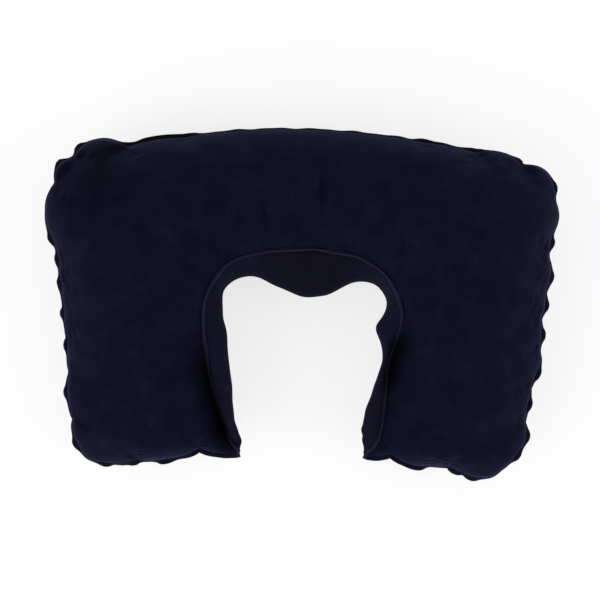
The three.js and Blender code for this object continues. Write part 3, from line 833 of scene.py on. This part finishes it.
def laidFlat(tree, place, x, y, reach, shade):
    # painted shade: the colour is darker round this place, fading out over its reach
    scale = 1 / reach
    near = node(tree, "ShaderNodeMapping", {"Vector": place, "Scale": (scale, scale, 0),
                                            "Location": (-scale * x, -scale * y, 0)}).outputs[0]
    near = node(tree, "ShaderNodeTexGradient", {"Vector": near}, gradient_type="QUADRATIC_SPHERE")
    return ramp(tree, near.outputs[0], [(0.0, 1.0), (0.6, 1 - shade)])


# Painted light and shade among the flock's colours: a paler colour lightens the wall's copy of the flock,
# and a near-black colour, at the crease strength, darkens the valley and the folds
flock = {
    "dark": (0.0044, 0.0040, 0.0130), "mid": (0.0063, 0.0058, 0.0177), "light": (0.0090, 0.0086, 0.0238),
    "rubbed": (0.0105, 0.0100, 0.0235, 1), "rubbedShare": 0.25, "paintedLight": (0.0200, 0.0192, 0.0330, 1),
    "paintedShade": (0.0009, 0.0013, 0.0022, 1), "fleck": (0.62, 0.62, 0.66), "fleckShare": 0.55,
    "roughness": (0.86, 0.98), "specular": 0.02, "sheenRoughness": 0.45, "sheenTint": (0.42, 0.44, 1.0, 1),
    "nap": 2400.0, "clump": 420.0, "wear": 130.0, "brush": 55.0,  # patterns to the metre
    "crease": 1.0, "bumps": ((0.25, 0.0010), (0.35, 0.0005), (0.35, 0.0002)),
}
# the wall's flock is a paler copy, painted light; the patch is painted shade: [x, y and reach in metres,
# how much darker]
panelPile = {"sheen": 0.11, "paintedLight": 0.0, "laid": (-0.175, 0.095, 0.085, 0.5)}
wallPile = {"sheen": 0.05, "paintedLight": 0.20, "laid": (0.0, 0.012, 0.11, 0.4)}


def flockedFilm(name, pile):
    finish, tree, shader, place = newFinish(name)
    brush = noise(tree, place, flock["brush"], 4.0, 0.6)
    clump = noise(tree, place, flock["clump"], 3.0, 0.6)
    nap = noise(tree, place, flock["nap"], 2.0, 0.6)
    wear = ramp(tree, noise(tree, place, flock["wear"], 4.0, 0.7), [(0.60, 0.0), (0.80, 1.0)])
    colour = ramp(tree, brush, [(0.30, flock["dark"]), (0.52, flock["mid"]), (0.74, flock["light"])])
    fleck = ramp(tree, clump, [(0.35, flock["fleck"]), (0.65, 1.0)])
    colour = mixed(tree, colour, fleck, flock["fleckShare"], "MULTIPLY")
    colour = mixed(tree, colour, flock["rubbed"], sums(tree, "MULTIPLY", wear, flock["rubbedShare"]))
    # painted light: the wall's copy of the flock is mixed towards a paler colour
    colour = mixed(tree, colour, flock["paintedLight"], pile["paintedLight"])
    # painted shade: a darker patch round one place of each finish
    colour = mixed(tree, colour, laidFlat(tree, place, *pile["laid"]), 1.0, "MULTIPLY")
    surface(tree, shader, colour, clump, flock)
    paintedCreaseShade(tree, shader, flock["crease"])
    shader.inputs["Sheen Weight"].default_value = pile["sheen"]
    shader.inputs["Sheen Roughness"].default_value = flock["sheenRoughness"]
    shader.inputs["Sheen Tint"].default_value = flock["sheenTint"]
    bumps(tree, shader, (brush, clump, nap), flock["bumps"])
    return finish


# crease is how strong the painted shade in the valley is on the welds
weld = {"crushed": 700.0, "lines": 260.0, "crease": 0.75, "bumps": ((0.3, 0.0003), (0.3, 0.0002))}
flangeLook = {
    "colours": [(0.0020, 0.0015, 0.0026), (0.0034, 0.0026, 0.0044), (0.0080, 0.0060, 0.0090)],
    "roughness": (0.62, 0.82), "specular": 0.04,
}
# painted highlight: the lip's colours are lighter than the flange's and the flock's, for the light along
# the lip
lipHighlightLook = {
    "colours": [(0.0120, 0.0112, 0.0250), (0.0180, 0.0170, 0.0360), (0.0270, 0.0255, 0.0490)],
    "roughness": (0.7, 0.9), "specular": 0.05,
}


def weldedFilm(name, look):
    # flock melted flat into the vinyl, with the fine cross lines of the welding bar
    finish, tree, shader, place = newFinish(name)
    crushed = noise(tree, place, weld["crushed"], 3.0, 0.6)
    lines = node(tree, "ShaderNodeTexWave", {"Vector": place, "Scale": weld["lines"], "Distortion": 1.5,
                                             "Detail": 1.0}, bands_direction="DIAGONAL").outputs[1]
    colour = ramp(tree, crushed, list(zip((0.32, 0.55, 0.78), look["colours"])))
    surface(tree, shader, colour, crushed, look)
    paintedCreaseShade(tree, shader, weld["crease"])
    bumps(tree, shader, (crushed, lines), weld["bumps"])
    return finish


vinyl = {
    "dark": (0.0085, 0.0095, 0.0240), "light": (0.0130, 0.0140, 0.0340), "cloud": 160.0, "grain": 2600.0,
    "roughness": (0.34, 0.50), "specular": 0.5, "bumps": ((0.12, 0.0006), (0.12, 0.0001)),
}


def mouldedVinyl(name):
    finish, tree, shader, place = newFinish(name)
    cloud = noise(tree, place, vinyl["cloud"], 3.0, 0.55)
    grain = noise(tree, place, vinyl["grain"], 2.0, 0.5)
    colour = ramp(tree, cloud, [(0.3, vinyl["dark"]), (0.7, vinyl["light"])])
    surface(tree, shader, colour, cloud, vinyl)
    bumps(tree, shader, (cloud, grain), vinyl["bumps"])
    return finish


navyFlock, wallFlock = flockedFilm("navyFlock", panelPile), flockedFilm("wallFlock", wallPile)
flangeWeld, lipWeldHighlight = weldedFilm("flangeWeld", flangeLook), weldedFilm("lipWeldHighlight", lipHighlightLook)
navyVinyl = mouldedVinyl("navyVinyl")


# The three skins
# How far the painted shade of the sunk weld reaches, left and right, in mm, and how strong the painted
# shade of the folds is
darkness = {"front": (10.5, 10.0, 0.34), "back": (4.0, 4.0, 0.0), "wall": (2.5, 6.0, 0.0),
            "fullDepth": 9.0, "down": 12.0}


def creaseShadeOf(points, left, right, folded):
    # how deep in the valley of the sunk weld, or in a fold, each point lies, from 0 to 1, which is how much
    # painted shade it gets
    line = frontBand[neckLine]
    deep = np.zeros(len(points))
    close = np.nonzero(points[:, 2] > seamLevel - darkness["down"])[0]
    for part in np.array_split(close, 1 + len(close) // 20000):
        far = np.linalg.norm(points[part][:, None, :2] - line[None, :, :2], axis=2)
        at, far = far.argmin(1), far.min(1)
        reach = np.where(points[part, 0] < 0, left, right)
        deep[part] = np.clip(sunk[at] / darkness["fullDepth"], 0, 1) * np.exp(-(far / reach) ** 2)
        for fold in folds:
            deep[part] = np.maximum(deep[part], folded * foldAt(neckAt[at], far, fold))
    return deep


def skinPiece(name, sheet, nodeName, flocked, dark):
    points, faces, finishOf = film(*sheet)
    piece = meshObject(name, points, faces, (flocked, flangeWeld, lipWeldHighlight), finishOf)
    # the crease attribute carries the painted shade of the sunk weld's valley and of the folds
    crease = piece.data.attributes.new("crease", "FLOAT", "POINT")
    crease.data.foreach_set("value", creaseShadeOf(points, *dark).astype(np.float32))
    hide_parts(nodeName)
    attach(piece, "pillow")
    print(name, len(faces) * 2, "triangles")


backPoints, backFaces, backFinish = panelSheet(backFine, -1)
backSheet = withSeat(backPoints, turnedOver(backFaces), backFinish)
skinPiece("frontPanel", panelSheet(frontFine, 1), "front_panel", navyFlock, darkness["front"])
skinPiece("backPanel", backSheet, "back_panel", navyFlock, darkness["back"])
skinPiece("neckWall", wallSheet(), "neck_wall", wallFlock, darkness["wall"])


# Valve
def roundedProfile(corners, radius, steps=4):
    corners = np.array(corners, float)
    out = []
    for k, corner in enumerate(corners):
        before, after = corners[k - 1], corners[(k + 1) % len(corners)]
        if corner[0] < 1e-6:
            out.append(corner)
            continue
        reach = [min(radius, 0.45 * np.linalg.norm(other - corner)) for other in (before, after)]
        a = corner + unit(before - corner) * reach[0]
        b = corner + unit(after - corner) * reach[1]
        out += list(bezier(a, corner, b, count=steps + 1))
    return np.array(out)


def volumeOf(points, faces):
    total = 0.0
    for f in faces:
        for k in range(1, len(f) - 1):
            total += np.dot(points[f[0]], np.cross(points[f[k]], points[f[k + 1]]))
    return total / 6


def facingOut(points, faces):
    points = np.array(points, float)
    return points, faces if volumeOf(points, faces) > 0 else [face[::-1] for face in faces]


def turned(corners, radius, count=96):
    # a closed profile of [radius, level] corners turned about the valve's axis
    profile = roundedProfile(corners, radius)
    turns = np.arange(count) * 2 * math.pi / count
    points, rings = [], []
    for r, level in profile:
        if r < 1e-6:
            rings.append([len(points)] * count)
            points.append((0, 0, level))
        else:
            rings.append(list(range(len(points), len(points) + count)))
            points += [(r * math.cos(t), r * math.sin(t), level) for t in turns]
    faces = []
    for a, b in zip(rings, rings[1:] + rings[:1]):
        for k in range(count):
            n = (k + 1) % count
            corner = list(dict.fromkeys([a[k], a[n], b[n], b[k]]))
            if len(corner) > 2:
                faces.append(tuple(corner))
    return facingOut(points, faces)


def evaluated(piece):
    return bpy.data.meshes.new_from_object(piece.evaluated_get(bpy.context.evaluated_depsgraph_get()))


def valvePiece(name, nodeName, points, faces, cutters=(), adders=()):
    piece = meshObject(name, fromValve(points), faces, (navyVinyl,))
    for group, operation in ((adders, "UNION"), (cutters, "DIFFERENCE")):
        for other in group:
            tool = meshObject("tool", fromValve(other[0]), other[1])
            cut = piece.modifiers.new("cut", "BOOLEAN")
            cut.operation, cut.object, cut.solver = operation, tool, "EXACT"
            data = evaluated(piece)
            piece.modifiers.clear()
            piece.data = data
            data.name = name
            bpy.data.objects.remove(tool)
    while len(piece.data.materials) > 1:
        piece.data.materials.pop()
    piece.data.polygons.foreach_set("material_index", np.zeros(len(piece.data.polygons), np.int32))
    piece.data.polygons.foreach_set("use_smooth", np.ones(len(piece.data.polygons), bool))
    piece.data.set_sharp_from_angle(angle=math.radians(valve["sharpAngle"]))
    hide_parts(nodeName)
    return piece


# Geometry Nodes: the ribs round the collar, and the strap along its path
def sizedTree(name, sizes):
    # a tree with one named input for each size
    tree = bpy.data.node_groups.new(name, "GeometryNodeTree")
    tree.interface.new_socket("Geometry", in_out="OUTPUT", socket_type="NodeSocketGeometry")
    for label, value in sizes.items():
        kind = "NodeSocketInt" if isinstance(value, int) else "NodeSocketFloat"
        tree.interface.new_socket(label, in_out="INPUT", socket_type=kind)
    return tree, node(tree, "NodeGroupInput").outputs


def endOf(tree, mesh):
    real = node(tree, "GeometryNodeRealizeInstances", {"Geometry": mesh}).outputs[0]
    finished = node(tree, "GeometryNodeSetMaterial", {"Geometry": real, "Material": navyVinyl}).outputs[0]
    node(tree, "NodeGroupOutput", {0: finished})
    return tree


def ribRing(sizes):
    # upright ribs, soft at both ends, evenly round a circle
    tree, given = sizedTree("ribRing", sizes)
    ring = node(tree, "GeometryNodeCurvePrimitiveCircle",
                {"Resolution": given["Count"], "Radius": given["Radius"]}).outputs[0]
    ball = node(tree, "GeometryNodeMeshUVSphere", {"Segments": 10, "Rings": 8, "Radius": 1.0}).outputs[0]
    shape = node(tree, "ShaderNodeCombineXYZ",
                 {0: given["Width"], 1: given["Width"], 2: given["Height"]}).outputs[0]
    rib = node(tree, "GeometryNodeTransform", {"Geometry": ball, "Scale": shape}).outputs[0]
    ribs = node(tree, "GeometryNodeInstanceOnPoints", {"Points": ring, "Instance": rib}).outputs[0]
    level = node(tree, "ShaderNodeCombineXYZ", {2: given["Level"]}).outputs[0]
    moved = node(tree, "GeometryNodeTransform", {"Geometry": ribs, "Translation": level}).outputs[0]
    return endOf(tree, moved)


def hangingStrap(sizes):
    # a flat strap on edge along an arc, lower in its middle, drawn in and thicker at its roots
    tree, given = sizedTree("hangingStrap", sizes)
    arc = node(tree, "GeometryNodeCurveArc", {
        "Resolution": given["Steps"], "Radius": given["Radius"],
        "Start Angle": given["From"], "Sweep Angle": given["Turn"]}).outputs[0]
    along = node(tree, "GeometryNodeSplineParameter").outputs["Factor"]
    toEnd = sums(tree, "MINIMUM", along, sums(tree, "SUBTRACT", 1.0, along))

    def fromEnd(value, reach):
        return node(tree, "ShaderNodeMapRange", {
            "Value": toEnd, "From Max": reach, "To Min": value, "To Max": 1.0},
            interpolation_type="SMOOTHSTEP").outputs[0]

    hang = sums(tree, "POWER", sums(tree, "SINE", sums(tree, "MULTIPLY", along, math.pi)), 2.0)
    climb = sums(tree, "ADD", given["Level"], sums(tree, "MULTIPLY", along, given["Rise"]))
    level = sums(tree, "SUBTRACT", climb, sums(tree, "MULTIPLY", hang, given["Sag"]))
    lowered = node(tree, "ShaderNodeCombineXYZ", {2: level}).outputs[0]
    spot = node(tree, "GeometryNodeInputPosition").outputs[0]
    drawn = node(tree, "ShaderNodeVectorMath", {"Vector": spot, "Scale": fromEnd(given["Pull"], reach=0.1)},
                 operation="SCALE").outputs[0]
    path = node(tree, "GeometryNodeSetPosition",
                {"Geometry": arc, "Position": drawn, "Offset": lowered}).outputs[0]
    path = node(tree, "GeometryNodeSetCurveNormal", {"Curve": path}, mode="Z_UP").outputs[0]
    band = node(tree, "GeometryNodeCurvePrimitiveQuadrilateral",
                {"Width": given["Thickness"], "Height": given["Width"]}).outputs[0]
    band = node(tree, "GeometryNodeFilletCurve",
                {"Curve": band, "Count": 3, "Radius": given["Rounding"]}, mode="POLY").outputs[0]
    swept = node(tree, "GeometryNodeCurveToMesh", {
        "Curve": path, "Profile Curve": band, "Fill Caps": True,
        "Scale": fromEnd(given["Root"], reach=0.08)})
    return endOf(tree, swept.outputs[0])


def grown(tree, sizes):
    # the tree's result at these sizes, as points and faces in the valve's frame
    holder = bpy.data.objects.new(tree.name, bpy.data.meshes.new(tree.name))
    scene.collection.objects.link(holder)
    growth = holder.modifiers.new("growth", "NODES")
    growth.node_group = tree
    for socket in tree.interface.items_tree:
        if socket.item_type == "SOCKET" and socket.in_out == "INPUT":
            growth[socket.identifier] = sizes[socket.name]
    data = evaluated(holder)
    points = [tuple(vertex.co) for vertex in data.vertices]
    faces = [tuple(face.vertices) for face in data.polygons]
    bpy.data.objects.remove(holder)
    bpy.data.meshes.remove(data)
    return facingOut(points, faces)


v = valve
stemTop = v["capBase"] - v["moulding"]
collarBase = stemTop - v["collarThickness"]
collarMiddle = stemTop - v["collarThickness"] / 2
footTop = stemTop + v["collarThickness"] - v["travel"]
stemBottom = footTop - v["footThickness"]
floorTop = footTop + v["moulding"] + v["skin"]
discBase = v["discTop"] - v["discThickness"]
rimTop = discBase - v["moulding"]
flapTop = stemBottom - v["moulding"]

print("valve")
disc = valvePiece("weldDisc", "valve_weld_disc", *turned([
    (v["recess"], discBase), (v["disc"], discBase), (v["disc"], v["discTop"]),
    (v["recess"], v["discTop"])], radius=0.22))
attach(disc, "pillow")

sleeveWall = v["recess"] - v["skin"]
sleeveFloor = sleeveWall - v["sleeveTaper"]
throat, rimEdge = v["stem"] + v["moulding"], v["recess"] + v["rimWidth"]


def sleeveLine(offset):
    # down the diaphragm's soft rolls
    line = []
    for share in np.linspace(0, 1, v["sleeveRolls"] * 8 + 1):
        roll = math.sin(share * v["sleeveRolls"] * 2 * math.pi) * math.sin(math.pi * share)
        radius = lerp(sleeveWall, sleeveFloor, share) + v["rollDepth"] * roll
        level = lerp(rimTop - v["rimRound"][1], floorTop - v["floorRound"][1], share)
        line.append((radius + offset, level))
    return line


inner = [(sleeveWall + v["rimRound"][0], rimTop)] + sleeveLine(0.0)
inner += [(sleeveFloor - v["floorRound"][0], floorTop), (throat, floorTop)]
outside = [(throat, floorTop - v["skin"]), (sleeveFloor, floorTop - v["skin"])]
outside += sleeveLine(v["skin"])[::-1]
outside += [(v["recess"] + v["rimBack"], rimTop - v["skin"]), (rimEdge, rimTop - v["skin"]),
            (rimEdge, rimTop)]
diaphragm = valvePiece("diaphragm", "valve_diaphragm", *turned(inner + outside, radius=0.15, count=80))
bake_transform(diaphragm)

ribSizes = {"Count": v["gripRibs"], "Radius": v["collar"] - v["ribSink"], "Width": v["ribWidth"],
            "Height": v["ribHeight"], "Level": collarMiddle}
ribs = grown(ribRing(ribSizes), ribSizes)
stem = valvePiece("stem", "valve_stem", *turned([
    (v["bore"], stemBottom), (v["foot"], stemBottom), (v["foot"], footTop), (v["stem"], footTop),
    (v["stem"], collarBase), (v["collar"], collarBase), (v["collar"], stemTop),
    (v["bore"] + v["boreFlare"][0], stemTop), (v["bore"], stemTop - v["boreFlare"][1])],
    radius=0.25), adders=[ribs])
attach(stem, "stem")


def slab(corners, low, high, rounding, steps=5):
    # a flat plate with rounded outline and soft top and bottom edges
    aside = [1000, 0]  # off the axis, where roundedProfile leaves corners sharp
    base = roundedProfile(np.array(corners) + aside, rounding, steps) - aside
    centre = base.mean(0)
    rings, points = [], []
    soft = min(0.25, (high - low) * 0.4)
    bend = soft * 0.3  # where the soft edge turns
    for level, inset in ((low, soft), (low + bend, bend), (low + soft, 0),
                         (high - soft, 0), (high - bend, bend), (high, soft)):
        rings.append(list(range(len(points), len(points) + len(base))))
        points += [(x, y, level) for x, y in base + unit(centre - base) * inset]
    faces = [tuple(rings[0][::-1]), tuple(rings[-1])]
    for a, b in zip(rings, rings[1:]):
        faces += [(a[k - 1], a[k], b[k], b[k - 1]) for k in range(len(a))]
    return facingOut(points, faces)


def plate(x, farX, halfWidth, low, high, rounding):
    corners = [(x, -halfWidth), (farX, -halfWidth), (farX, halfWidth), (x, halfWidth)]
    return slab(corners, low, high, rounding)


shankEnd, dimple = v["capBase"] - v["shankLength"], v["capTop"] - v["dimple"]
cap = turned([
    (0, shankEnd), (v["shank"] - v["shankTip"], shankEnd), (v["shank"], shankEnd + v["shankTip"]),
    (v["shank"], v["capBase"]), (v["collar"], v["capBase"]), (v["collar"], v["capTop"]),
    (v["shank"] + v["dimpleRim"][1], v["capTop"]), (v["shank"] + v["dimpleRim"][0], dimple),
    (0, dimple)], radius=0.2)
halfTab = v["tabWidth"] / 2
tab = plate(v["tabRoot"], v["tabReach"], halfTab, v["capBase"], v["capTop"], rounding=1.1)
grooveFloor = v["capTop"] - v["grooveDepth"]
# cut a little past the tab's sides and top
grooves = [plate(x, x + v["grooveWidth"], halfTab + 1, grooveFloor, v["capTop"] + 1, rounding=0.1)
           for x in v["tabGrooves"]]
plug = valvePiece("plug", "valve_plug", *cap, adders=[tab], cutters=grooves)
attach(plug, "plug")

turn = math.radians(v["strapTurn"])
strapLine = v["collar"] + v["moulding"]
strapSizes = {
    "Steps": 64, "Radius": strapLine + v["strapThickness"] / 2 - 0.1, "From": math.pi - turn / 2,
    "Turn": turn, "Level": collarMiddle, "Rise": (v["capBase"] + v["capTop"]) / 2 - collarMiddle,
    "Sag": v["strapSag"], "Root": 1.05, "Pull": 0.86,
    "Width": v["strapWidth"] - 0.2, "Thickness": v["strapThickness"], "Rounding": 0.15,
}
strap = valvePiece("plugStrap", "plug_strap", *grown(hangingStrap(strapSizes), strapSizes))
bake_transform(strap)

flapRadius = v["bore"] + v["flapMargin"]
halfHinge, wayRound = flapRadius / 2, math.pi - math.asin(0.5)
flapOutline = [(-v["stem"], halfHinge), (-v["stem"], -halfHinge)]
flapOutline += [(flapRadius * math.cos(t), flapRadius * math.sin(t))
                for t in np.linspace(-wayRound, wayRound, 49)]
flapSlab = slab(flapOutline, flapTop - v["skin"], flapTop, rounding=0.05, steps=1)
flap = valvePiece("flap", "valve_flap", *flapSlab)
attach(flap, "flap")

# Floor, light and camera
print("stage")
middle = (np.array(cadHigh) + np.array(cadLow)) / 2
studio = {
    "elevation": 82.0, "roll": 0.9, "lens": 90.0, "viewWidth": 1.163, "aim": (-0.0022, -0.0011, 0.0425),
    "ambient": 0.56, "floorColour": (0.90, 0.90, 0.90, 1), "floorSize": 30.0,
    "floorDrop": 0.2, "floorRoughness": 0.9, "sensor": 36.0, "clip": (0.01, 60.0),
    "glow": 1.12, "glowShare": 0.66,
    "key": {"place": (-1.15, -0.75, 0.85), "size": (1.2, 0.9), "power": 12.0},
    "fill": {"place": (1.3, -0.45, 0.85), "size": (1.1, 1.0), "power": 8.4},
}


def seenWhite(tree, white, other):
    # what the camera, reflections and clear materials see, and what lights the rest
    rays = node(tree, "ShaderNodeLightPath").outputs
    seen = sums(tree, "MAXIMUM", rays["Is Camera Ray"], rays["Is Glossy Ray"])
    seen = sums(tree, "MAXIMUM", seen, rays["Is Transmission Ray"])
    return node(tree, "ShaderNodeMixShader", {0: seen, 1: other, 2: white}).outputs[0]


world = bpy.data.worlds.new("studio")
scene.world = world
world.use_nodes = True
tree = world.node_tree
tree.nodes.clear()
soft, white = (node(tree, "ShaderNodeBackground", {"Color": (1, 1, 1, 1), "Strength": power}).outputs[0]
               for power in (studio["ambient"], 1.0))
node(tree, "ShaderNodeOutputWorld", {"Surface": seenWhite(tree, white, soft)})

floorCorners = np.array([[-1, -1, 0], [1, -1, 0], [1, 1, 0], [-1, 1, 0]]) * studio["floorSize"] / 2 / mm
floor = meshObject("floor", floorCorners - [0, 0, studio["floorDrop"]], [(0, 1, 2, 3)])
floorFinish, tree, shader, place = newFinish("paleFloor")
shader.inputs["Base Color"].default_value = studio["floorColour"]
shader.inputs["Roughness"].default_value = studio["floorRoughness"]
shader.inputs["Specular IOR Level"].default_value = 0.0
lit = shader.outputs[0]
glow = node(tree, "ShaderNodeEmission", {"Color": (1, 1, 1, 1), "Strength": studio["glow"]}).outputs[0]
both = node(tree, "ShaderNodeMixShader", {0: studio["glowShare"], 1: lit, 2: glow}).outputs[0]
tree.links.new(seenWhite(tree, both, lit), tree.nodes["Material Output"].inputs[0])
floor.data.materials.append(floorFinish)
floor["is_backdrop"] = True


def stand(name, data, spot, towards):
    item = bpy.data.objects.new(name, data)
    scene.collection.objects.link(item)
    item.location = spot
    item.rotation_mode = "QUATERNION"
    item.rotation_quaternion = Vector(towards).to_track_quat("-Z", "Y")
    return item


for name in ("key", "fill"):
    box = studio[name]
    lamp = bpy.data.lights.new(name + "Box", "AREA")
    lamp.shape, lamp.energy = "RECTANGLE", box["power"]
    lamp.size, lamp.size_y = box["size"]
    stand(name + "Box", lamp, box["place"], middle - np.array(box["place"]))

lens = bpy.data.cameras.new("camera")
lens.lens, lens.sensor_width = studio["lens"], studio["sensor"]
lens.clip_start, lens.clip_end = studio["clip"]
lens.dof.use_dof = False
rise = math.radians(studio["elevation"])
back = Vector((0, -math.cos(rise), math.sin(rise)))
away = (cadHigh[0] - cadLow[0]) * studio["viewWidth"] * lens.lens / lens.sensor_width
camera = stand("camera", lens, Vector(studio["aim"]) + back * away, -back)
roll = Quaternion((0, 0, 1), math.radians(studio["roll"]))
camera.rotation_quaternion = camera.rotation_quaternion @ roll
scene.camera = camera
scene.view_settings.view_transform = "Standard"

newLow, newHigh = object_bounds()
for label, corners in (("cad", (*cadLow, *cadHigh)), ("visual", (*newLow, *newHigh))):
    print(label, [round(c, 4) for c in corners])
